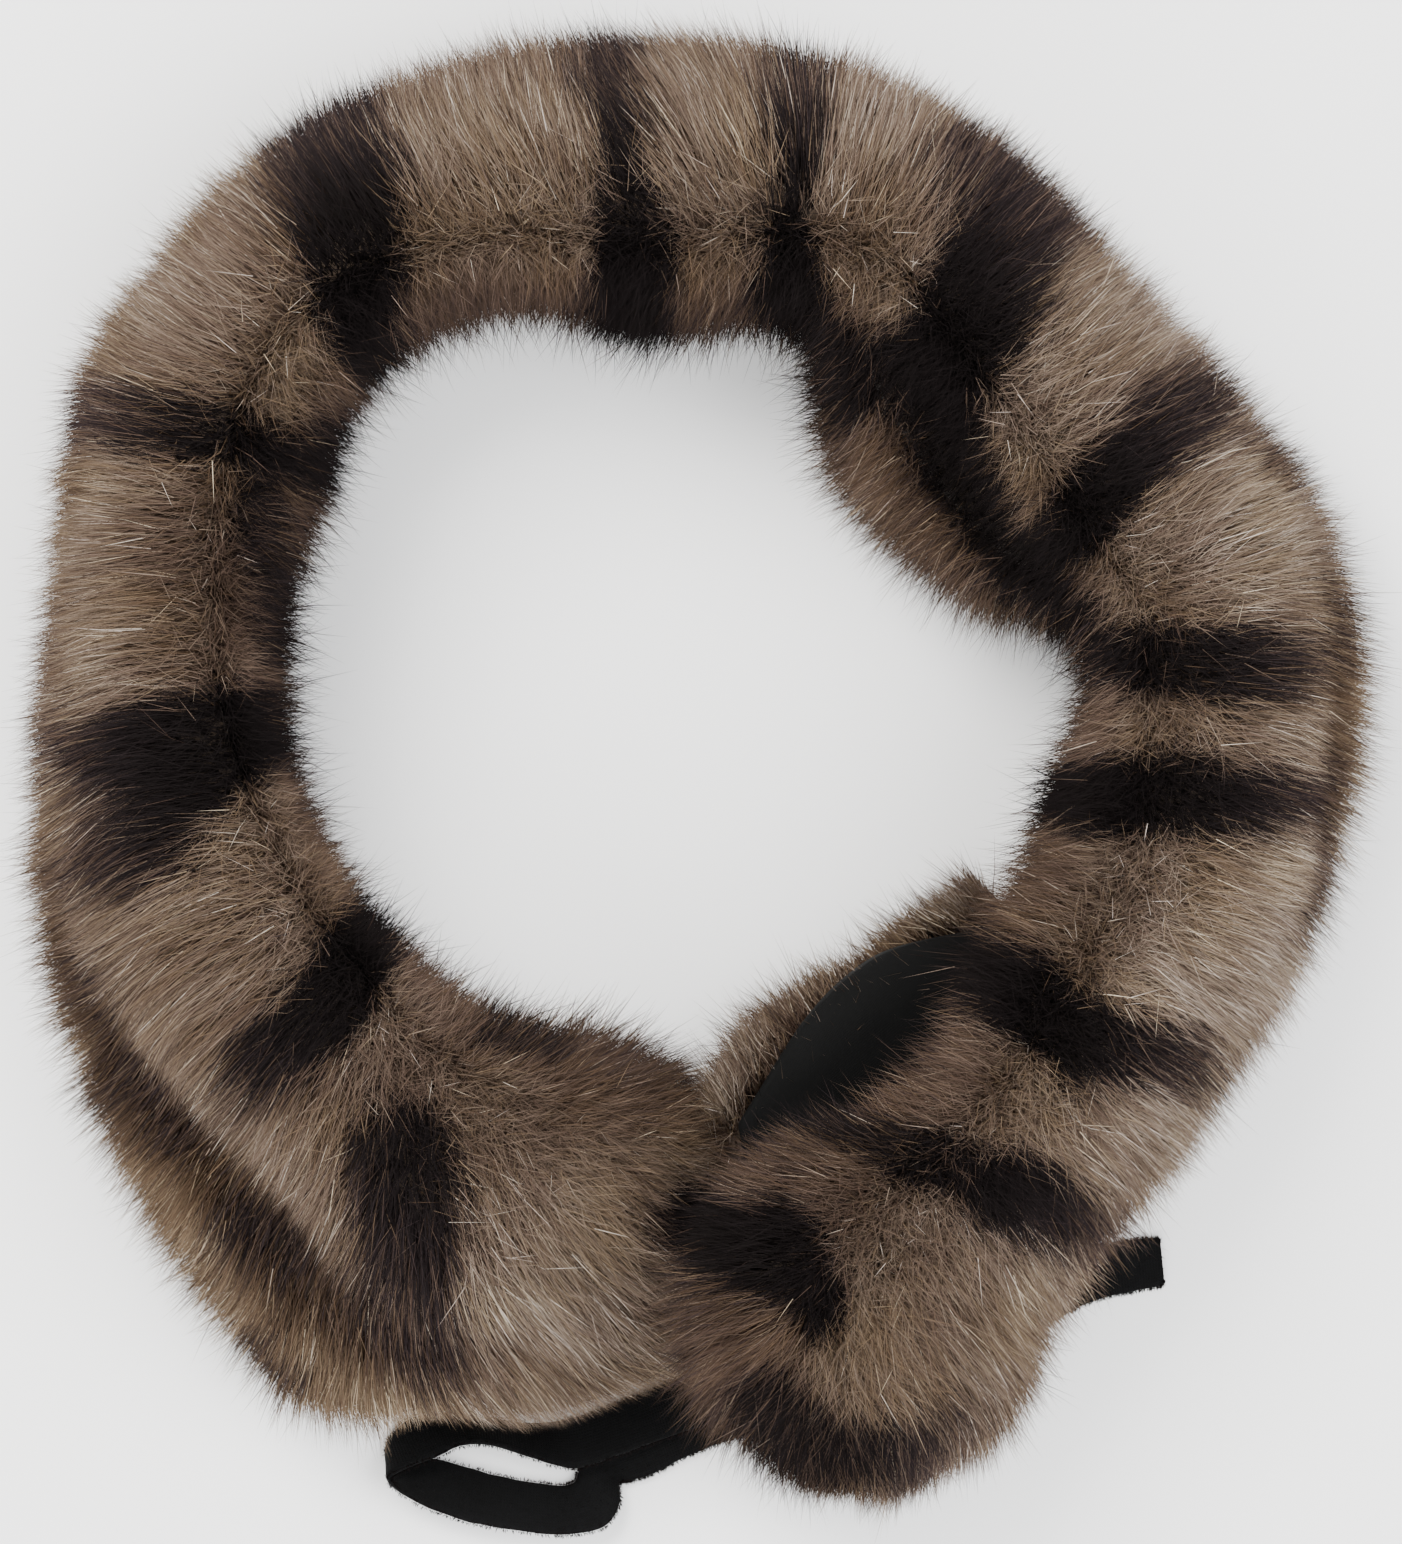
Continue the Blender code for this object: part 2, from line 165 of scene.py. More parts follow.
# Dark animal stripes as seen from above: strokes from x, y to x, y with a half width at
# each end (grid) and a strength.
STRIPES = np.array((
    (318, 122, 350, 230, 68, 58, 0.95),
    (350, 230, 376, 362, 56, 34, 1.0),
    (78, 410, 190, 436, 34, 26, 0.75),
    (190, 436, 345, 476, 24, 22, 0.95),
    (342, 440, 350, 488, 24, 22, 0.85),
    (272, 505, 288, 645, 26, 28, 0.7),
    (70, 752, 172, 770, 38, 60, 0.9),
    (172, 770, 255, 735, 66, 48, 1.0),
    (95, 862, 165, 845, 36, 36, 0.8),
    (386, 915, 322, 1018, 32, 42, 1.0),
    (322, 1018, 252, 1075, 42, 32, 0.85),
    (408, 1155, 410, 1255, 56, 56, 0.9),
    (425, 1290, 440, 1376, 38, 26, 0.75),
    (76, 963, 101, 1022, 10, 16, 0.7),
    (101, 1022, 170, 1153, 14, 15, 0.7),
    (88, 1106, 110, 1120, 14, 12, 0.7),
    (227, 1237, 290, 1262, 28, 24, 0.85),
    (245, 1350, 285, 1385, 20, 20, 0.8),
    (352, 1312, 430, 1382, 14, 22, 0.75),
    (604, 30, 618, 130, 42, 27, 0.9),
    (618, 130, 626, 215, 19, 21, 1.0),
    (628, 215, 632, 335, 27, 44, 1.0),
    (800, 42, 797, 130, 36, 27, 0.85),
    (796, 130, 781, 215, 19, 18, 1.0),
    (781, 215, 790, 310, 24, 40, 1.0),
    (980, 150, 1045, 215, 44, 52, 0.8),
    (1015, 215, 985, 300, 54, 56, 1.0),
    (985, 300, 926, 385, 56, 52, 1.0),
    (926, 385, 945, 470, 46, 33, 1.0),
    (945, 470, 1003, 560, 33, 31, 1.0),
    (1005, 560, 1062, 612, 34, 27, 1.0),
    (818, 352, 838, 415, 24, 20, 0.95),
    (1205, 396, 1130, 452, 44, 38, 0.9),
    (1130, 452, 1062, 540, 38, 30, 1.0),
    (825, 348, 855, 395, 24, 26, 0.85),
    (850, 365, 925, 385, 26, 30, 0.9),
    (1000, 592, 1062, 600, 15, 18, 0.9),
    (1092, 662, 1180, 666, 30, 34, 0.9),
    (1180, 666, 1284, 668, 34, 36, 0.92),
    (1050, 796, 1120, 796, 30, 38, 1.0),
    (1120, 796, 1215, 803, 38, 36, 1.0),
    (1215, 803, 1318, 800, 34, 30, 0.92),
    (968, 965, 1030, 1003, 38, 42, 1.0),
    (1030, 1003, 1090, 1045, 42, 42, 1.0),
    (1090, 1045, 1200, 1068, 42, 32, 0.8),
    (895, 1138, 1000, 1185, 26, 40, 0.8),
    (1000, 1185, 1062, 1215, 44, 38, 1.0),
    (1062, 1215, 1125, 1248, 36, 28, 0.7),
    (700, 1228, 762, 1240, 40, 50, 1.0),
    (762, 1240, 812, 1288, 50, 36, 0.95),
    (765, 1098, 870, 1122, 13, 16, 0.75),
    (762, 1398, 788, 1444, 38, 42, 0.85),
    (788, 1444, 900, 1458, 44, 40, 0.85),
    (900, 1458, 965, 1415, 30, 20, 0.85),
    (1284, 436, 1318, 480, 17, 15, 0.95),
    (1346, 588, 1360, 664, 13, 12, 0.95),
    (1336, 866, 1310, 938, 14, 13, 0.85),
    (500, 1018, 562, 1046, 20, 14, 0.8),
), float)


def at_stations(table, t):
    """Rows of a table at the station numbers t, on a smooth curve through its own rows."""
    ends = np.vstack([2 * table[0] - table[1], table, 2 * table[-1] - table[-2]])
    i = np.clip(np.floor(t).astype(int), 0, len(table) - 2)
    a, b, c, d = ends[i], ends[i + 1], ends[i + 2], ends[i + 3]
    f = (t - i)[:, None]
    return b + 0.5 * f * (c - a + f * (2 * a - 5 * b + 4 * c - d + f * (3 * (b - c) + d - a)))


def place(x, y, z_mm):
    """Grid places and heights in millimetres as points in metres."""
    return np.stack([(x - GRID_MIDDLE[0]) * GRID + CENTRING[0],
                     (GRID_MIDDLE[1] - y) * GRID + CENTRING[1],
                     z_mm * 0.001 + 0 * x], axis=-1)


def grid_place(points):
    """The grid x and y under points in metres."""
    return ((points[..., 0] - CENTRING[0]) / GRID + GRID_MIDDLE[0],
            GRID_MIDDLE[1] - (points[..., 1] - CENTRING[1]) / GRID)


def step(low, high, x):
    """Rises smoothly from 0 at low to 1 at high."""
    f = np.clip((x - low) / (high - low), 0.0, 1.0)
    return f * f * (3 - 2 * f)


def between(low, low_full, high_full, high, x):
    """Rises smoothly from 0 at low to 1 at low_full, and falls from high_full to high."""
    return step(low, low_full, x) * step(high, high_full, x)


def unit(v):
    """Vectors made one long."""
    return v / np.maximum(np.linalg.norm(v, axis=-1, keepdims=True), 1e-12)


def noise(points, size, seed):
    """Smooth noise from -1 to 1 in space, with lumps of the given size."""
    q = points / size + seed * 17.13
    cell = np.floor(q)
    f = q - cell
    f = f * f * (3 - 2 * f)
    total = 0.0
    for corner in np.ndindex(2, 2, 2):
        c = np.array(corner)
        mixed = np.sin((cell + c) @ np.array([12.9898, 78.233, 37.719])) * 43758.5453
        share = np.prod(np.where(c == 1, f, 1 - f), axis=-1)
        total = total + share * (mixed - np.floor(mixed))
    return 2 * total - 1


def layered(points, layers):
    """The sum of smooth noises, each a weight, a lump size in metres and a seed."""
    return sum(weight * noise(points, size, seed) for weight, size, seed in layers)


def smoothed(points):
    """Closed sections of points, evened out twice around."""
    for _ in range(2):
        points = 0.5 * points + 0.25 * (np.roll(points, 1, 1) + np.roll(points, -1, 1))
    return points


def fur_surface(t, near_count, far_count, under_count):
    """The fur tube's surface as a grid of points, sections along and points around.

    Over the top a section rises from the inner edge to the crest as a power curve and falls
    to the outer edge as a flatter one, less a smooth dip at the crease and at the groove.
    The underside is straight, rounded up at both edges. Returns the points and, around, each
    point's flank: -1 at the inner edge, 0 at the crest, 1 at the outer edge, past 1 below.
    """
    rows = at_stations(RING, t)[:, None, :]
    inner, crest, outer = rows[..., 0:2], rows[..., 2:4], rows[..., 4:6]
    height, crease = rows[..., 6], rows[..., 9].clip(0)
    groove = GROOVE_GAIN * rows[..., 10].clip(0)
    lift_in, lift_out = rows[..., 7].clip(0), rows[..., 8].clip(0)
    span = outer - inner
    c = (((crest - inner) * span).sum(-1) / (span * span).sum(-1)).clip(*CREST_SHARES)
    bow = crest - (inner + c[..., None] * span)
    near = 1 - np.cos(np.linspace(0, 0.5 * np.pi, near_count))[None]
    far = np.linspace(0, 1, far_count)[None, 1:] ** 0.9
    low = np.linspace(0.99, 0.01, under_count)[None]
    ones = np.ones_like(c)
    u = np.concatenate([c * near, c + (1 - c) * far], axis=1)
    (p, q), (r, s) = INNER_CURVE, OUTER_CURVE
    shape = np.concatenate([(1 - (1 - near) ** p) ** q, (1 - far ** r) ** s], axis=1)
    dips = np.concatenate([
        crease * np.exp(-((near - CREASE_AT) / CREASE_WIDTH) ** 2)
        * (1 - near ** DIP_FADE),
        groove * np.exp(-((far - rows[..., 11]) / GROOVE_WIDTH) ** 2)
        * (1 - far ** DIP_FADE)], axis=1)
    lift_crest = lift_in * (1 - c) + lift_out * c
    edge = np.minimum(EDGE_HEIGHT, EDGE_SHARE * (height - lift_crest))
    over = lift_in * (1 - u) + lift_out * u + edge + (height - lift_crest - edge) * shape - dips
    turned = np.clip((np.abs(2 * low - 1) - (1 - TURNED_SHARE)) / TURNED_SHARE, 0, 1)
    below = (lift_in * (1 - low) + lift_out * low
             + edge * (1 - np.sqrt(1 - turned ** 2 * 0.97)))
    across = np.concatenate([u, low * ones], axis=1)[..., None]
    side = inner + across * span + (4 * across * (1 - across)) ** 2 * bow
    points = place(side[..., 0], side[..., 1], np.concatenate([over, below], axis=1))
    flank = np.concatenate([near[0] - 1, far[0], np.where(
        low[0] > 0.5, 1 + 2 * (1 - low[0]), -1 - 2 * low[0])])
    return smoothed(points), flank


def underlap_top(rows, u):
    """Points on the underlap's top at the shares u of its sections."""
    height = rows[:, None, 4]
    edge = 0.4 * height
    shape = np.where(u < 0.3, (1 - np.clip((0.3 - u) / 0.3, 0, 1) ** 2.6) ** 0.5,
                     (1 - 0.65 * np.clip((u - 0.3) / 0.7, 0, 1) ** 1.4))
    side = rows[:, None, 0:2] + u[..., None] * (rows[:, None, 2:4] - rows[:, None, 0:2])
    return place(side[..., 0], side[..., 1], edge + (height - edge) * shape)


def underlap_surface(t, over_count, under_count):
    """The underlap's surface as a grid, over the top and back along the flat underside."""
    rows = at_stations(UNDERLAP, t)
    u = 0.5 - 0.5 * np.cos(np.linspace(0, np.pi, over_count))[None] * np.ones((len(t), 1))
    low = np.linspace(0.96, 0.04, under_count)[None] * np.ones((len(t), 1))
    side = rows[:, None, 0:2] + low[..., None] * (rows[:, None, 2:4] - rows[:, None, 0:2])
    points = np.concatenate([underlap_top(rows, u), place(side[..., 0], side[..., 1], 0.0)],
                            axis=1)
    flank = np.concatenate([-1 + 1.9 * u[0], np.where(low[0] > 0.5, 1.5, -1.5)])
    return smoothed(points), flank


def directions(points):
    """Unit vectors along, around and outward on a closed grid of points."""
    along = unit(np.gradient(points, axis=0))
    around = unit(np.roll(points, -1, 1) - np.roll(points, 1, 1))
    outward = unit(np.cross(around, along))
    middle = points.mean(axis=1, keepdims=True)
    if ((points - middle) * outward).sum() < 0:
        outward = -outward
    return along, around, outward


def new_mesh(name, points, corners, sizes, uv=None, uv_name="OFBake"):
    """A mesh object from whole arrays: points, corner indices and the size of each face."""
    mesh = bpy.data.meshes.new(name)
    mesh.vertices.add(len(points))
    mesh.vertices.foreach_set("co", np.ascontiguousarray(points, np.float32).ravel())
    mesh.loops.add(len(corners))
    mesh.loops.foreach_set("vertex_index", corners.astype(np.int32))
    mesh.polygons.add(len(sizes))
    starts = np.concatenate([[0], np.cumsum(sizes)[:-1]]).astype(np.int32)
    mesh.polygons.foreach_set("loop_start", starts)
    mesh.polygons.foreach_set("use_smooth", np.ones(len(sizes), bool))
    if uv is not None:
        layer = mesh.uv_layers.new(name=uv_name)
        layer.data.foreach_set("uv", np.ascontiguousarray(uv, np.float32).ravel())
    mesh.update(calc_edges=True)
    mesh.validate()
    thing = bpy.data.objects.new(name, mesh)
    bpy.context.scene.collection.objects.link(thing)
    return thing


def grid_shell(name, outside, inside, closed_around):
    """A thin closed wall between two grids of points, with a UV map in metres."""
    count, around = outside.shape[:2]
    if closed_around:
        outside = np.concatenate([outside, outside[:, :1]], axis=1)
        inside = np.concatenate([inside, inside[:, :1]], axis=1)
        around += 1
    points = np.stack([outside, inside]).reshape(-1, 3)
    i, j = np.meshgrid(np.arange(count - 1), np.arange(around - 1), indexing="ij")
    first = (i * around + j).ravel()
    quad = np.stack([first, first + 1, first + around + 1, first + around], axis=1)
    layer = count * around
    faces = [quad, (quad + layer)[:, ::-1]]
    j = np.arange(around - 1)
    last = (count - 1) * around
    faces.append(np.stack([j + 1, j, j + layer, j + 1 + layer], axis=1))
    faces.append(np.stack([last + j, last + j + 1, last + j + 1 + layer, last + j + layer],
                          axis=1))
    if not closed_around:
        i = np.arange(count - 1) * around
        end = i + around - 1
        faces.append(np.stack([i, i + around, i + around + layer, i + layer], axis=1))
        faces.append(np.stack([end + around, end, end + layer, end + around + layer], axis=1))
    faces = np.concatenate(faces)
    run = np.concatenate([[0], np.cumsum(np.linalg.norm(
        np.diff(outside.mean(axis=1), axis=0), axis=-1))])
    turn = np.concatenate([[0], np.cumsum(np.linalg.norm(
        np.diff(outside.mean(axis=0), axis=0), axis=-1))])
    flat = np.stack(np.meshgrid(run, turn, indexing="ij"), axis=-1).reshape(-1, 2)
    flat = np.concatenate([flat, flat])
    thing = new_mesh(name, points, faces.ravel(), np.full(len(faces), 4),
                     flat[faces.ravel()], "Cloth")
    if closed_around:
        weld = thing.modifiers.new("Weld", "WELD")
        weld.merge_threshold = 0.000001
    return thing


def darkness(x, y, points):
    """How dark the animal stripes make the grid place x, y, from 0 to 1."""
    x = x + layered(points, ((12, 0.006, 3), (6, 0.0022, 4)))
    y = y + layered(points, ((12, 0.006, 5), (6, 0.0022, 6)))
    dark = np.zeros(len(x))
    for x0, y0, x1, y1, r0, r1, strength in STRIPES:
        dx, dy = x1 - x0, y1 - y0
        f = np.clip(((x - x0) * dx + (y - y0) * dy) / (dx * dx + dy * dy), 0, 1)
        away = np.hypot(x - x0 - f * dx, y - y0 - f * dy) / (r0 + (r1 - r0) * f)
        dark = np.maximum(dark, strength * step(1.3, 0.8, away))
    return dark


def looked_up(grids, i, j):
    """Values of grids at broken section numbers i and point numbers j, closed around."""
    count, around = grids[0].shape[:2]
    i0 = np.clip(np.floor(i).astype(int), 0, count - 2)
    j0 = np.floor(j).astype(int)
    fi, fj = (i - i0)[:, None], (j - j0)[:, None]
    j0, j1 = j0 % around, (j0 + 1) % around
    return [(g[i0, j0] * (1 - fi) + g[i0 + 1, j0] * fi) * (1 - fj)
            + (g[i0, j1] * (1 - fi) + g[i0 + 1, j1] * fi) * fj for g in grids]


class Pelt:
    """A furred surface: its grids, and how its pile lies on them."""

    def __init__(self, points, flank, depth, parting, leaning):
        self.along, self.around, self.outward = directions(points)
        self.root = points - self.outward * depth[..., None]
        self.flank = np.broadcast_to(flank, points.shape[:2])
        self.parting = np.broadcast_to(parting[:, None], points.shape[:2])
        self.leaning = np.broadcast_to(leaning[:, None], points.shape[:2])
        du = np.linalg.norm(np.gradient(points, axis=0), axis=-1)
        dv = np.linalg.norm(0.5 * (np.roll(points, -1, 1) - np.roll(points, 1, 1)), axis=-1)
        self.area = du * dv

    def values(self, i, j, *grids):
        """Numbers of some grids at broken grid places."""
        return [g[:, 0] for g in looked_up([g[..., None] for g in grids], i, np.round(j))]

    def scatter(self, count, density):
        """Broken grid places of roots, spread by area and by a density per grid point."""
        weight = (self.area * density)[:-1]
        total = np.cumsum(weight.ravel())
        pick = (np.arange(count) + random.random(count)) / count * total[-1]
        cell = np.searchsorted(total, pick).clip(0, weight.size - 1)
        i, j = np.divmod(cell, weight.shape[1])
        return i + random.random(count), j + random.random(count) - 0.5

    def strands(self, i, j, rise, lay, mess):
        """Root, first direction, last direction and facing of strands.

        A strand leaves its root at the angle rise above the backing and ends at the angle
        lay. It is combed away from the parting, where its tip leans any way. Smooth noise and
        mess turn it, and tufts draw tips together.
        """
        root, along, around, outward = looked_up(
            [self.root, self.along, self.around, self.outward], i, j)
        count = len(root)
        away, leaning = self.values(i, j, self.flank + self.parting, self.leaning)
        away = away + 0.14 * noise(root, 0.012, 15) + 0.17 * random.normal(size=count)
        side = np.clip(np.where(away > 0, away / 0.50, away / 0.30), -1, 1)
        loose = 1 - np.abs(side)
        comb = ((side + 0.5 * loose * noise(root, 0.009, 16))[:, None] * around
                + (leaning + 0.7 * loose * noise(root, 0.009, 17))[:, None] * along)
        comb = unit(comb + 1e-5)
        turn = layered(root, ((0.24, 0.030, 11), (0.20, 0.011, 12), (0.10, 0.0045, 13)))
        turn = turn + mess * random.normal(size=count)
        lean = 0.16 * noise(root, 0.007, 14) + mess * random.normal(size=count)
        cross = np.cross(outward, comb)
        q = root / TUFT + 0.5 * np.stack([noise(root, 0.003, k) for k in (18, 19, 20)], axis=-1)
        pull = np.floor(q) + 0.5 - q
        pull = pull - (pull * outward).sum(-1, keepdims=True) * outward
        stands = []
        for angle, stray, tuft in ((rise, 2.0, 0.1), (lay, 2.0, 0.26)):
            angle = angle + 0.6 * lean
            spin = turn + loose * stray * random.normal(size=count)
            way = comb * np.cos(spin)[:, None] + cross * np.sin(spin)[:, None]
            stands.append(unit(way * np.cos(angle)[:, None] + outward * np.sin(angle)[:, None]
                               + tuft * (1 - 0.7 * loose)[:, None] * pull
                               + 0.5 * mess[:, None] * random.normal(size=root.shape)))
        return root, stands[0], stands[1], outward


def curve(root, first, last, length, t):
    """The point at share t of strands that bend evenly from first to last."""
    t = np.asarray(t)[..., None]
    return root + length[:, None] * (first * (t - 0.5 * t * t) + last * (0.5 * t * t))


def lie_on_floor(points, floor):
    """Points that would sink under floor, a height each, are laid on it instead."""
    points[..., 2] = np.maximum(points[..., 2], floor)
    return points


def tucked(root, first, last, length):
    """Lengths of strands, less what would lie over the strap's upper run."""
    x, y = grid_place(curve(root, first, last, length, 1.0))
    root_x, root_y = grid_place(root)
    edge = STRAP[9:0:-1]
    stop = np.interp(x, edge[:, 0], edge[:, 1]) + 9 * random.random(len(length))
    over = (x > edge[0, 0]) & (x < edge[-1, 0]) & (y > stop) & (root_y < stop)
    over = over & (root_x < TAIL_LEFT)
    share = (stop - root_y) / np.maximum(y - root_y, 1.0)
    return length * np.where(over, share.clip(0.25, 1), 1)


def ribbons(root, first, last, facing, length, width, shade, family, segments, start=0.0,
            lit=0.0):
    """Tapered ribbons, one a strand, from the share start of the strand to its tip.

    In their UV map u runs along the strand, in one of three columns for its hue family, and
    v is its shade. A root is paler the more it is lit.
    """
    count = len(root)
    t = np.linspace(start, 1, segments + 1)
    line = np.stack([curve(root, first, last, length, x) for x in t], axis=1)
    floor = 0.0005 + 0.0012 * random.random(count)
    line = lie_on_floor(line, floor[:, None])
    run = unit(np.gradient(line, axis=1))
    roll = facing + 0.45 * random.normal(size=facing.shape)
    side = unit(np.cross(run, roll[:, None, :]))
    taper = np.array([1.0, 0.8, 0.6])[:segments]
    half = 0.5 * width[:, None, None] * taper[None, :, None]
    left = line[:, :-1] - side[:, :-1] * half
    right = line[:, :-1] + side[:, :-1] * half
    pairs = np.stack([left, right], axis=2).reshape(count, -1, 3)
    points = np.concatenate([pairs, line[:, -1:]], axis=1)
    points[..., 2] = np.maximum(points[..., 2], LOWEST)
    per = 2 * segments + 1
    pattern, sizes, u, v = [], [], [], []
    for k in range(segments - 1):
        pattern += [2 * k, 2 * k + 1, 2 * k + 3, 2 * k + 2]
        sizes.append(4)
        u += [t[k], t[k], t[k + 1], t[k + 1]]
        v += [-1, 1, 1, -1]
    k = segments - 1
    pattern += [2 * k, 2 * k + 1, 2 * k + 2]
    sizes.append(3)
    u += [t[k], t[k], 1.0]
    v += [-1, 1, 0]
    corners = (np.arange(count)[:, None] * per + np.array(pattern)[None]).ravel()
    uv = np.empty((count, len(pattern), 2))
    lit = lit * np.ones(count)
    u = lit[:, None] + (1 - lit[:, None]) * np.array(u)[None]
    uv[..., 0] = (family[:, None] + 0.02 + 0.96 * u) / 3
    uv[..., 1] = np.clip(shade, 0.01, 0.99)[:, None] + 0.003 * np.array(v)[None]
    return points.reshape(-1, 3), corners, np.tile(sizes, count), uv.reshape(-1, 2)


def joined(parts):
    """Several sets of ribbons as one."""
    shift = np.cumsum([0] + [len(p[0]) for p in parts[:-1]])
    return (np.concatenate([p[0] for p in parts]),
            np.concatenate([p[1] + s for p, s in zip(parts, shift)]),
            np.concatenate([p[2] for p in parts]),
            np.concatenate([p[3] for p in parts]))


def camera():
    """A camera straight above the scarf, with the photograph's frame."""
    data = bpy.data.cameras.new("camera")
    data.sensor_width = 36.0
    data.lens = data.sensor_width * (CAMERA_HEIGHT - FOCUS_HEIGHT) / (PICTURE_STEPS[1] * GRID)
    thing = bpy.data.objects.new("camera", data)
    middle = place(np.array(PICTURE_STEPS[0] / 2), np.array(PICTURE_STEPS[1] / 2), 0.0)
    thing.location = (float(middle[0]), float(middle[1]), CAMERA_HEIGHT)
    bpy.context.scene.collection.objects.link(thing)
    bpy.context.scene.camera = thing


# Soft lights: name, place, width (m), power (W) and colour.
LIGHTS = (
    ("key", (-0.7, 0.9, 1.5), 0.9, 56.0, (1.0, 0.98, 0.95)),
    ("fill", (1.0, -0.2, 1.3), 1.1, 26.0, (0.97, 0.98, 1.0)),
    ("low", (-0.3, -1.2, 0.9), 1.0, 16.0, (1.0, 1.0, 1.0)),
)


def light(name, where, size, power, colour):
    """A square soft light that faces the scarf."""
    data = bpy.data.lights.new(name, "AREA")
    data.energy, data.size, data.color = power, size, colour
    thing = bpy.data.objects.new(name, data)
    thing.location = where
    thing.rotation_mode = "QUATERNION"
    thing.rotation_quaternion = (-thing.location).to_track_quat("-Z", "Y")
    bpy.context.scene.collection.objects.link(thing)


def studio():
    """White world, soft lights from above and a pale floor."""
    world = bpy.data.worlds.new("studio")
    world.use_nodes = True
    back = world.node_tree.nodes["Background"]
    back.inputs["Color"].default_value = (1.0, 1.0, 1.0, 1.0)
    back.inputs["Strength"].default_value = 1.7
    bpy.context.scene.world = world
    for row in LIGHTS:
        light(*row)
    corners = FLOOR_HALF * np.array([(-1, -1, 0), (1, -1, 0), (1, 1, 0), (-1, 1, 0)], float)
    floor = new_mesh("floor", corners, np.arange(4), np.array([4]))
    material, nodes, links, shader = new_material("floor", (0.93, 0.93, 0.93), 0.9)
    floor.data.materials.append(material)


def new_material(name, colour, roughness):
    """A material with a Principled shader; returns it with its nodes, links and shader."""
    material = bpy.data.materials.new(name)
    material.use_nodes = True
    nodes, links = material.node_tree.nodes, material.node_tree.links
    shader = nodes["Principled BSDF"]
    shader.inputs["Base Color"].default_value = (*colour, 1.0)
    shader.inputs["Roughness"].default_value = roughness
    return material, nodes, links, shader


def ramp(nodes, stops):
    """A colour ramp node with the given (place, colour) stops."""
    node = nodes.new("ShaderNodeValToRGB")
    elements = node.color_ramp.elements
    elements[0].position, elements[0].color = stops[0][0], (*stops[0][1], 1.0)
    elements[1].position, elements[1].color = stops[-1][0], (*stops[-1][1], 1.0)
    for where, colour in stops[1:-1]:
        elements.new(where).color = (*colour, 1.0)
    return node


def srgb(*values):
    """A colour given as it looks on a screen, 0 to 255, as linear light."""
    c = np.array(values, float) / 255
    return tuple(np.where(c <= 0.04045, c / 12.92, ((c + 0.055) / 1.055) ** 2.4))


def fur_material():
    """Pile: v picks a strand's shade, and u its hue family and how dark its root is: darker
    roots are partly the strands' own colour and partly painted shade deep in the pile.
    """
    material, nodes, links, shader = new_material("fur_pile", (0.2, 0.16, 0.13), 0.8)
    shader.inputs["Specular IOR Level"].default_value = 0.0
    where = nodes.new("ShaderNodeUVMap")
    where.uv_map = "OFBake"
    split = nodes.new("ShaderNodeSeparateXYZ")
    links.new(where.outputs["UV"], split.inputs["Vector"])
    shade = ramp(nodes, (
        (0.0, srgb(19, 17, 16)), (0.12, srgb(31, 27, 27)), (0.25, srgb(53, 45, 45)),
        (0.38, srgb(57, 46, 39)), (0.5, srgb(76, 62, 53)), (0.65, srgb(100, 86, 74)),
        (0.8, srgb(136, 122, 108)), (1.0, srgb(200, 190, 178))))
    links.new(split.outputs["Y"], shade.inputs["Fac"])
    column = nodes.new("ShaderNodeMath")
    column.operation = "MULTIPLY"
    column.inputs[1].default_value = 3.0
    links.new(split.outputs["X"], column.inputs[0])
    along = nodes.new("ShaderNodeMath")
    along.operation = "FRACT"
    links.new(column.outputs[0], along.inputs[0])
    # Darker towards the root: partly the strands' own darker roots, partly painted shade deep
    # in the pile.
    depth = ramp(nodes, (
        (0.0, (0.31, 0.29, 0.27)), (0.35, (0.63, 0.61, 0.59)), (0.7, (0.93, 0.93, 0.92)),
        (1.0, (1.0, 1.0, 1.0))))
    links.new(along.outputs[0], depth.inputs["Fac"])
    hue = ramp(nodes, (
        (0.0, (1.0, 0.97, 1.01)), (1 / 3, (1.0, 1.0, 1.0)), (2 / 3, (1.04, 0.99, 0.87))))
    hue.color_ramp.interpolation = "CONSTANT"
    links.new(split.outputs["X"], hue.inputs["Fac"])
    colour = shade.outputs["Color"]
    for factor in (depth, hue):
        mixed = nodes.new("ShaderNodeMix")
        mixed.data_type, mixed.blend_type = "RGBA", "MULTIPLY"
        mixed.inputs["Factor"].default_value = 1.0
        links.new(colour, mixed.inputs["A"])
        links.new(factor.outputs["Color"], mixed.inputs["B"])
        colour = mixed.outputs["Result"]
    links.new(colour, shader.inputs["Base Color"])
    return material


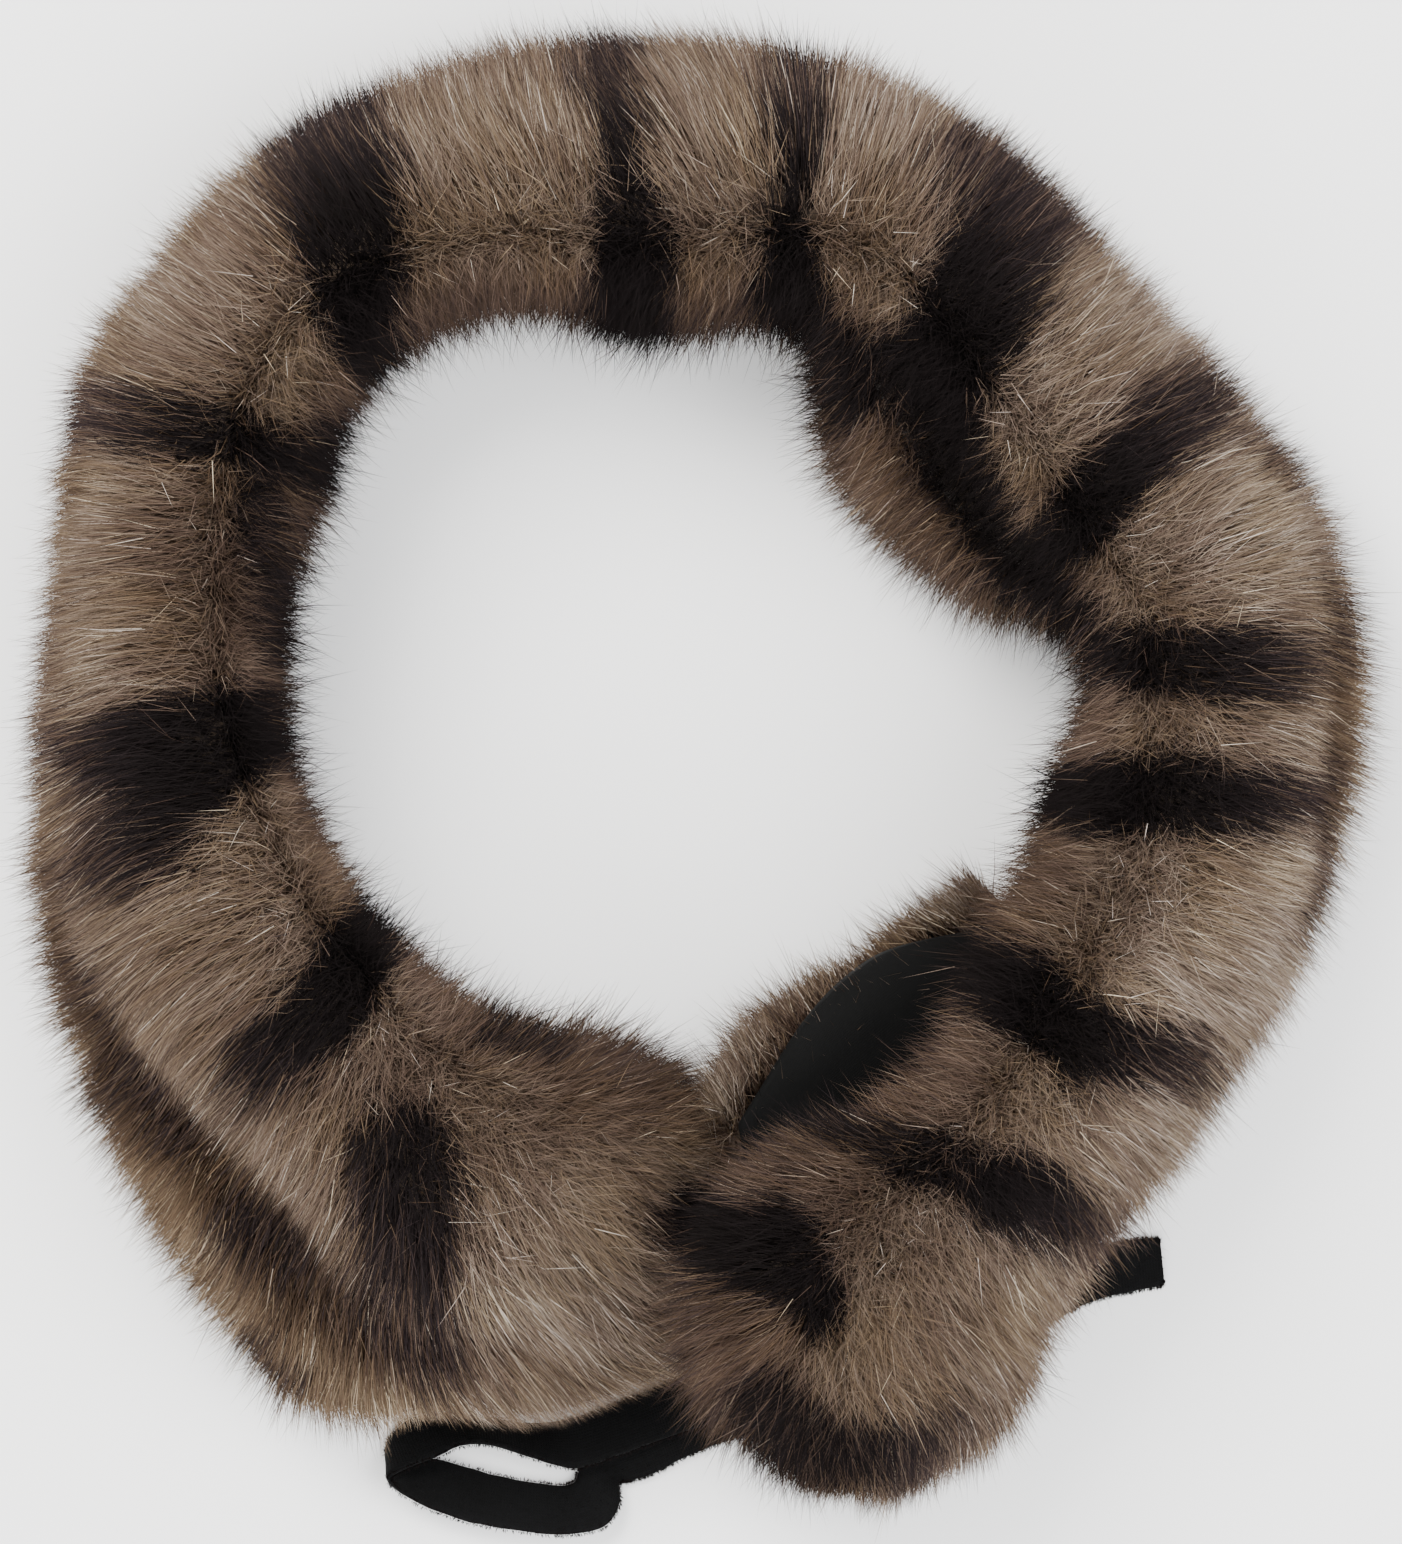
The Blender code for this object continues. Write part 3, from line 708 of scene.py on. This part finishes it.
def cloth_material(name, colour, light_colour, roughness, sheen, thread, bump):
    """A dark cloth: fine threads both ways from the Cloth UV map, with nap and a soft sheen."""
    material, nodes, links, shader = new_material(name, colour, roughness)
    shader.inputs["Sheen Weight"].default_value = sheen
    shader.inputs["Sheen Roughness"].default_value = 0.4
    shader.inputs["Specular IOR Level"].default_value = 0.12
    where = nodes.new("ShaderNodeUVMap")
    where.uv_map = "Cloth"
    waves = []
    for direction in ("X", "Y"):
        wave = nodes.new("ShaderNodeTexWave")
        wave.wave_type, wave.bands_direction = "BANDS", direction
        wave.inputs["Scale"].default_value = 0.314 / thread
        wave.inputs["Distortion"].default_value = 1.2
        wave.inputs["Detail"].default_value = 1.0
        links.new(where.outputs["UV"], wave.inputs["Vector"])
        waves.append(wave.outputs["Fac"])
    weave = nodes.new("ShaderNodeMath")
    weave.operation = "MAXIMUM"
    links.new(waves[0], weave.inputs[0])
    links.new(waves[1], weave.inputs[1])
    nap = nodes.new("ShaderNodeTexNoise")
    nap.inputs["Scale"].default_value = 900.0
    nap.inputs["Detail"].default_value = 4.0
    links.new(where.outputs["UV"], nap.inputs["Vector"])
    worn = nodes.new("ShaderNodeTexNoise")
    worn.inputs["Scale"].default_value = 60.0
    links.new(where.outputs["UV"], worn.inputs["Vector"])
    height = nodes.new("ShaderNodeMath")
    height.operation = "ADD"
    links.new(weave.outputs[0], height.inputs[0])
    links.new(nap.outputs["Fac"], height.inputs[1])
    lift = nodes.new("ShaderNodeBump")
    lift.inputs["Strength"].default_value = bump
    lift.inputs["Distance"].default_value = 0.00015
    links.new(height.outputs[0], lift.inputs["Height"])
    links.new(lift.outputs["Normal"], shader.inputs["Normal"])
    shade = ramp(nodes, ((0.3, colour), (0.75, light_colour)))
    blend = nodes.new("ShaderNodeMix")
    blend.data_type = "FLOAT"
    blend.inputs["Factor"].default_value = 0.5
    links.new(nap.outputs["Fac"], blend.inputs["A"])
    links.new(worn.outputs["Fac"], blend.inputs["B"])
    links.new(blend.outputs["Result"], shade.inputs["Fac"])
    links.new(shade.outputs["Color"], shader.inputs["Base Color"])
    return material


def finish_piece(thing, material):
    """Gives a piece its material and slot, and lets it ride on the part."""
    thing.data.materials.append(material)
    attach(thing, "root")


# Along the ring: station, how far the pile leans along the ring against its comb across it,
# and how far inside the crest it parts, as a share of the flank.
COMB = np.array((
    (0, -1.9, 0.0), (2, -1.5, 0.0), (3.5, -0.75, 0.05), (5, -0.2, 0.1), (7, -0.05, 0.2),
    (9, -0.15, 0.3), (11, -0.3, 0.35), (17, -0.1, 0.3), (19.3, -0.1, 0.3), (20.2, -0.85, 0.3),
    (21.2, -0.75, 0.3), (22.0, -0.05, 0.25), (22.5, 0.0, 0.25),
    (24, 0.1, 0.1), (28, 0.2, 0.1), (29.5, 0.65, 0.15), (31, 0.6, 0.2), (33, 0.45, 0.2),
    (37, 0.4, 0.1), (38.5, 0.65, 0.1), (40, 1.1, 0.1), (42, 2.2, 0.1),
))

# Along the ring: station, and what the pale pile's shade gains there.
TONES = np.array((
    (0, 0.0), (4, -0.03), (7, -0.06), (9, -0.07), (12, -0.085), (16, -0.065), (20, -0.06),
    (23, -0.03), (27, -0.02), (31, 0.0), (33, 0.02), (35, 0.0), (37, -0.04), (42, -0.03),
))

# Kinds of hair: share of a guard hair's length, extra rise (degrees), mess, width (m),
# segments, where on the strand its ribbon starts, and what it adds to the shade.
KINDS = {
    "under": (0.66, 12, 1.6, 0.00049, 1, 0.0, -0.06),
    "guard": (1.00, 0, 1.0, 0.00019, 2, 0.0, 0.0),
    "tips": (1.08, 0, 1.1, 0.00016, 1, 0.46, 0.04),
    "stray": (1.26, 11, 2.2, 0.00021, 2, 0.0, -0.12),
}

# What a place on a section does to its hair: length (mm), rise and lay (degrees).
PLACES = {
    "anywhere": (20.5, 46, 7),
    "crest": (-11.2, 19, 38),
    "inner": (0.0, 0, 8),
    "wall": (-5.5, 0, 0),
    "rim": (-1.6, 0, 0),
    "edge": (-1.5, 4, 16),
    "below": (-10.5, -30, -10),
    "lip": (-3.5, -8, 0),
    "fringe": (3.0, 0, -9),
}

# Smooth noises: weight, lump size (m) and seed.
LENGTH_WAVES = ((0.22, 0.0024, 28), (0.12, 0.007, 29))
STREAKS = ((1.3, 0.0008, 23), (0.75, 0.0017, 24), (0.4, 0.0040, 26))
TONE_WAVES = ((0.07, 0.024, 21), (0.05, 0.009, 22))
TAN_SHADE = 0.655


def pile(pelt, kind, i, j):
    """Ribbons of one kind of hair at given roots."""
    share, steeper, messy, wide, segments, start, lighter = KINDS[kind]
    count = len(i)
    flank, away, groove, small, groove_at, tone = pelt.values(
        i, j, pelt.flank, pelt.flank + pelt.parting, pelt.groove, pelt.small, pelt.groove_at,
        pelt.tone)
    inner = step(0.05, -0.45, away)
    below = step(1.0, 1.25, np.abs(flank))
    crest = between(-0.55, -0.05, 0.0, 0.80, away)
    edge = step(0.6, 0.95, np.abs(flank)) * (1 - below)
    past = flank - groove_at
    lip = step(0.01, 0.08, past) * (1 - below) * groove
    # The groove below the fringe, where the pile gets a painted shadow line.
    valley_shadow = between(-0.08, 0.0, 0.03, 0.12, past) * groove
    fringe = between(-0.32, -0.13, -0.08, 0.0, past) * groove
    rim = step(-0.7, -1.0, flank)
    here = {"anywhere": 1.0, "crest": crest, "inner": inner, "wall": inner * (1 - crest),
            "rim": rim * (1 - below), "edge": edge, "below": below, "lip": lip,
            "fringe": fringe}
    length, rise, lay = (sum(PLACES[name][k] * amount for name, amount in here.items())
                         for k in range(3))
    length, rise, lay = 0.001 * length, np.radians(rise), np.radians(lay)
    mess = messy * (0.08 + 0.07 * crest + 0.12 * inner + 0.05 * edge)
    rise, lay = rise + np.radians(steeper), lay + np.radians(0.7 * steeper)
    length = length * small * share * np.exp(0.17 * random.normal(size=count)).clip(0.55, 1.4)
    length = length * np.where(random.random(count) < 0.2, 1 + 0.35 * edge, 1 - 0.2 * edge)
    root, first, last, outward = pelt.strands(i, j, rise, lay, mess)
    length = length * (1 + layered(root, LENGTH_WAVES))
    length = np.minimum(length, LONGEST_HAIR * (1 - 0.12 * random.random(count)))
    length = tucked(root, first, last, length)
    seen = curve(root, first, last, length, 0.75)
    x, y = grid_place(curve(root, first, last, length, 0.5 + 0.5 * random.random(count)))
    blur = 6 + 7 * step(0.1, 0.7, flank) * (1 - lip)
    dark = darkness(x + blur * random.normal(size=count), y + blur * random.normal(size=count),
                    root)
    dark = np.where(random.random(count) < dark ** 0.8, 1 - 0.15 * (1 - dark), 0.25 * dark)
    calm = 1 - 0.55 * crest
    streak = layered(root, STREAKS)
    # The pale pile's shade. It is darker on the inner flank (painted shade towards the hole,
    # partly the darker roots that show there), on the crest (painted shade where the pile is
    # seen end-on), at the inner rim (painted shade low on the inner wall) and along the groove
    # (painted shadow).
    tan = (TAN_SHADE + tone + layered(seen, TONE_WAVES)
           + (0.072 + 0.25 * tone) * calm * streak - 0.20 * inner - 0.04 * crest - 0.17 * valley_shadow
           - 0.12 * rim
           + lip * (0.10 * noise(seen, 0.007, 27) - 0.03) + 0.03 * fringe
           + 0.07 * calm * random.normal(size=count))
    chance = random.random(count)
    glint = chance > 0.955 - 0.02 * streak + 0.035 * crest
    tan = np.where(glint, tan + 0.16 + 0.16 * random.random(count), tan)
    tan = np.where(chance < 0.07, tan - 0.25 * calm, tan)
    # Dark strands are paler where the pile lies flat on the outer flank: a painted sheen on the
    # flat-lying hair.
    flat_sheen = step(0.1, 0.7, flank)
    black = (0.01 + 0.11 * flat_sheen + 0.04 * streak * flat_sheen + 0.06 * random.random(count)
             + np.where(chance > 0.86, 0.40 * flat_sheen, 0.0))
    shade = tan * (1 - dark) + black * dark + lighter * (1 - dark)
    warm = 0.5 + 0.5 * noise(seen, 0.014, 25) + 0.8 * lip - 0.7 * dark + 0.35 * random.normal(
        size=count)
    family = np.digitize(warm, (0.25, 0.75))
    width = wide * (0.75 + 0.5 * random.random(count)) * np.where(glint, 1.15, 1) * (
        1 + (0.8 * crest if kind == "under" else 0.0))
    facing = unit(outward + np.array([0.0, 0.0, 0.6]))
    return ribbons(root, first, last, facing, length, width, shade, family, segments, start,
                   0.74 * crest)


def fur_ring():
    """The fur tube: backing cloth, and its pile in stretches along the ring."""
    t = np.linspace(0, len(RING) - 1, 150)
    points, flank = fur_surface(t, 24, 36, 26)
    rows = at_stations(RING, t)
    depth = np.minimum(PILE_DEPTH, 0.00024 * rows[:, 6])[:, None] * (
        1 - 0.86 * step(0.97, 1.25, np.abs(flank))
        - 0.45 * step(0.55, 0.1, flank) * step(-0.8, -0.25, flank))[None]
    leaning, parting = (np.interp(t, COMB[:, 0], COMB[:, k]) for k in (1, 2))
    pelt = Pelt(points, flank, depth, parting, leaning)
    size = np.clip(rows[:, 6] / 40, 0.45, 1)[:, None]
    beside = (0.36 * between(35.4, 36.2, 37.2, 38.2, t)
              - 0.40 * between(0.4, 1.2, 3.0, 3.8, t))[:, None] * step(0.7, 1.0, np.abs(flank))
    on_tail = step(37, 40, t)[:, None]
    on_lobe = between(23.5, 25, 27.5, 29, t)[:, None] * step(-0.5, -0.9, flank)
    pelt.small = (size + 0.22 * on_tail + 0.42 * on_lobe) * (1 - beside)
    pelt.groove = np.broadcast_to((rows[:, 10:11] / 6).clip(0, 1), points.shape[:2])
    pelt.groove_at = np.broadcast_to(rows[:, 11:12], points.shape[:2])
    pelt.tone = np.interp(t, TONES[:, 0], TONES[:, 1])[:, None] + 0.09 * on_lobe
    outside = pelt.root
    inside = outside - pelt.outward * BACKING_THICK
    outside[..., 2] = np.maximum(outside[..., 2], CLOTH_LOW)
    inside[..., 2] = np.maximum(inside[..., 2], CLOTH_HIGH)
    backing = grid_shell("fur_backing", outside[:, ::2], inside[:, ::2], True)
    away = pelt.flank + pelt.parting
    density = (1 - 0.90 * step(1.02, 1.2, np.abs(pelt.flank))) * (
        1 + 2.4 * between(-0.45, -0.05, 0.0, 0.45, away))
    names = ("fur_pile_closing", "fur_pile_left", "fur_pile_upper_left", "fur_pile_top",
             "fur_pile_lobe", "fur_pile_right", "fur_pile_tail")
    rims = density * step(0.35, 0.8, np.abs(pelt.flank + 0.1))
    sown = [(kind, *pelt.scatter(count, rims if kind == "stray" else density))
            for kind, count in RING_HAIRS.items()]
    limits = np.quantile(sown[0][1], np.linspace(0, 1, len(names) + 1))
    limits[0], limits[-1] = -1, 1e9
    made = []
    for k, name in enumerate(names):
        parts = []
        for kind, i, j in sown:
            chosen = (i >= limits[k]) & (i < limits[k + 1])
            parts.append(pile(pelt, kind, i[chosen], j[chosen]))
        made.append(new_mesh(name, *joined(parts)))
    return backing, made


def fur_underlap():
    """The end under the tail: backing cloth and a pile that shows at its hole side."""
    t = np.linspace(0, len(UNDERLAP) - 1, 60)
    points, flank = underlap_surface(t, 34, 14)
    depth = UNDERLAP_DEPTH * (1 - 0.7 * step(1.2, 1.5, np.abs(flank)))[None]
    depth = depth * np.ones((len(t), 1))
    pelt = Pelt(points, flank, depth, np.zeros(len(t)), np.full(len(t), UNDERLAP_LEAN))
    pelt.small = np.full(points.shape[:2], UNDERLAP_SMALL)
    pelt.groove = np.zeros(points.shape[:2])
    pelt.groove_at = np.full(points.shape[:2], 0.9)
    pelt.tone = np.full(points.shape[:2], UNDERLAP_TONE)
    outside = pelt.root
    inside = outside - pelt.outward * BACKING_THICK
    outside[..., 2] = np.maximum(outside[..., 2], CLOTH_LOW)
    inside[..., 2] = np.maximum(inside[..., 2], CLOTH_HIGH)
    backing = grid_shell("underlap_backing", outside[:, ::2], inside[:, ::2], True)
    rows = at_stations(UNDERLAP, t)
    start = (-1 + 1.9 * rows[:, 5])[:, None]
    shown = step(0.02, -0.12, flank[None] - start) * step(-1.45, -1.05, flank)[None]
    density = shown + 0.03
    parts = []
    for kind, count in UNDERLAP_HAIRS.items():
        i, j = pelt.scatter(count, density)
        parts.append(pile(pelt, kind, i, j))
    return backing, new_mesh("fur_pile_underlap", *joined(parts))


def lining_cloth():
    """The smooth lining on the underlap, with a rolled seam edge."""
    t = np.linspace(2 / 3, len(UNDERLAP) - 1, 56)
    rows = at_stations(UNDERLAP, t)
    share = np.linspace(0, 1, 22)[None]
    u = rows[:, 5:6] + (rows[:, 6:7] - rows[:, 5:6]) * share
    sheet = underlap_top(rows, u)
    sheet[..., 2] += 0.001 * SEAM_GAP
    ripple = LINING_RIPPLE * noise(sheet, 0.012, 31) * between(0, 0.2, 0.8, 1, share)
    sheet[..., 2] += np.abs(ripple)
    normal = unit(np.cross(np.gradient(sheet, axis=1), np.gradient(sheet, axis=0)))
    normal = normal * np.sign(normal[..., 2:3])
    roll = np.sqrt(np.clip(1 - (1 - np.minimum(share, 1 - share) / 0.04).clip(0) ** 2, 0.02, 1))
    high = sheet + normal * (LINING_THICK * (0.35 + 0.65 * roll))[..., None]
    return grid_shell("lining_cloth", high, sheet, False)


def strap_cloth():
    """The strap ribbon as a wall of even thickness, with softly rounded edges."""
    t = np.linspace(0, len(STRAP) - 1, 250)
    t = np.sort(np.concatenate([t, len(STRAP) - 1 - np.array((0.005, 0.015, 0.035, 0.07))]))
    rows = at_stations(STRAP, t)
    low = place(rows[:, 0], rows[:, 1], rows[:, 2])
    high = place(rows[:, 3], rows[:, 4], rows[:, 5])
    share = (0.5 - 0.5 * np.cos(np.linspace(0, np.pi, 10)))[None, :, None]
    left = np.linalg.norm(np.diff(0.5 * (low + high), axis=0), axis=1)
    left = np.concatenate([np.cumsum(left[::-1])[::-1], [0]]) / STRAP_FADE
    inset = 0.13 * (1 - np.sqrt(1 - (1 - left.clip(0, 1)) ** 2))[:, None, None]
    uneven = 0.018 * noise(low, 0.0028, 41)[:, None, None]
    share = inset + uneven * (1 - share) + share * (1 - 2 * inset - uneven)
    sheet = low[:, None] * (1 - share) + high[:, None] * share
    normal = unit(np.cross(np.gradient(sheet, axis=1), np.gradient(sheet, axis=0)))
    s = 0.5 - 0.5 * np.cos(np.linspace(0, np.pi, 10))
    roll = np.sqrt(np.clip(1 - (1 - np.minimum(s, 1 - s) / 0.06).clip(0) ** 2, 0.06, 1))
    half = 0.5 * STRAP_THICK * roll[None, :, None]
    up, down = sheet + normal * half, sheet - normal * half
    up[..., 2], down[..., 2] = up[..., 2].clip(0.0001), down[..., 2].clip(0.0001)
    thing = grid_shell("strap_cloth", up, down, False)
    return thing, sheet, normal


def strap_nap(sheet, normal):
    """Short fibres that stand out of the strap's faces and edges."""
    count = NAP_FIBRES
    i = random.random(count) * (sheet.shape[0] - 1)
    on_edge = random.random(count) < 0.6
    j = np.where(on_edge, np.where(random.random(count) < 0.5, 0.02, sheet.shape[1] - 1.02),
                 random.random(count) * (sheet.shape[1] - 1.02))
    i0, j0 = i.astype(int).clip(0, sheet.shape[0] - 2), j.astype(int)
    fi, fj = (i - i0)[:, None], (j - j0)[:, None]
    at = ((sheet[i0, j0] * (1 - fi) + sheet[i0 + 1, j0] * fi) * (1 - fj)
          + (sheet[i0, j0 + 1] * (1 - fi) + sheet[i0 + 1, j0 + 1] * fi) * fj)
    up = normal[i0, j0] * np.where(random.random(count) < 0.5, 1, -1)[:, None]
    outwards = unit(sheet[i0, j0] - sheet[i0, sheet.shape[1] // 2])
    way = unit(np.where(on_edge[:, None], outwards + 0.3 * up, up)
               + 0.45 * random.normal(size=at.shape))
    at = at + up * 0.0005
    length = 0.0005 + 0.0006 * random.random(count)
    return new_mesh("strap_nap", *ribbons(
        at, way, unit(way + 0.5 * random.normal(size=at.shape)), up, length,
        np.full(count, 0.00018), 0.02 + 0.1 * random.random(count), np.zeros(count), 2))


# How many hairs of each kind grow on the ring and on the underlap, and the strap's fibres.
RING_HAIRS = {"under": 80000, "guard": 120000, "tips": 190000, "stray": 7500}
UNDERLAP_HAIRS = {"under": 5500, "guard": 4500, "tips": 5500, "stray": 500}
NAP_FIBRES = 8000

camera()
studio()
FUR = fur_material()
# The backing's dark brown is partly the cloth's own colour, partly painted shade of the pile
# above it.
BACKING = cloth_material("backing", srgb(46, 38, 32), srgb(66, 56, 47), 0.95, 0.1, 0.0011, 0.8)
LINING = cloth_material("lining", srgb(3, 3, 3), srgb(8, 8, 8), 0.8, 0.01, 0.0004, 0.25)
NAPPED = cloth_material("strap", srgb(4, 4, 4), srgb(10, 10, 11), 0.95, 0.03, 0.0006, 0.6)

backing, piles = fur_ring()
finish_piece(backing, BACKING)
for piece in piles:
    finish_piece(piece, FUR)
under_backing, under_pile = fur_underlap()
finish_piece(under_backing, BACKING)
finish_piece(under_pile, FUR)
lining = lining_cloth()
finish_piece(lining, LINING)
strap, strap_sheet, strap_normal = strap_cloth()
finish_piece(strap, NAPPED)
nap = strap_nap(strap_sheet, strap_normal)
finish_piece(nap, FUR)

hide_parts("fur_tube")
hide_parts("fur_underlap")
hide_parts("lining")
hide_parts("strap")
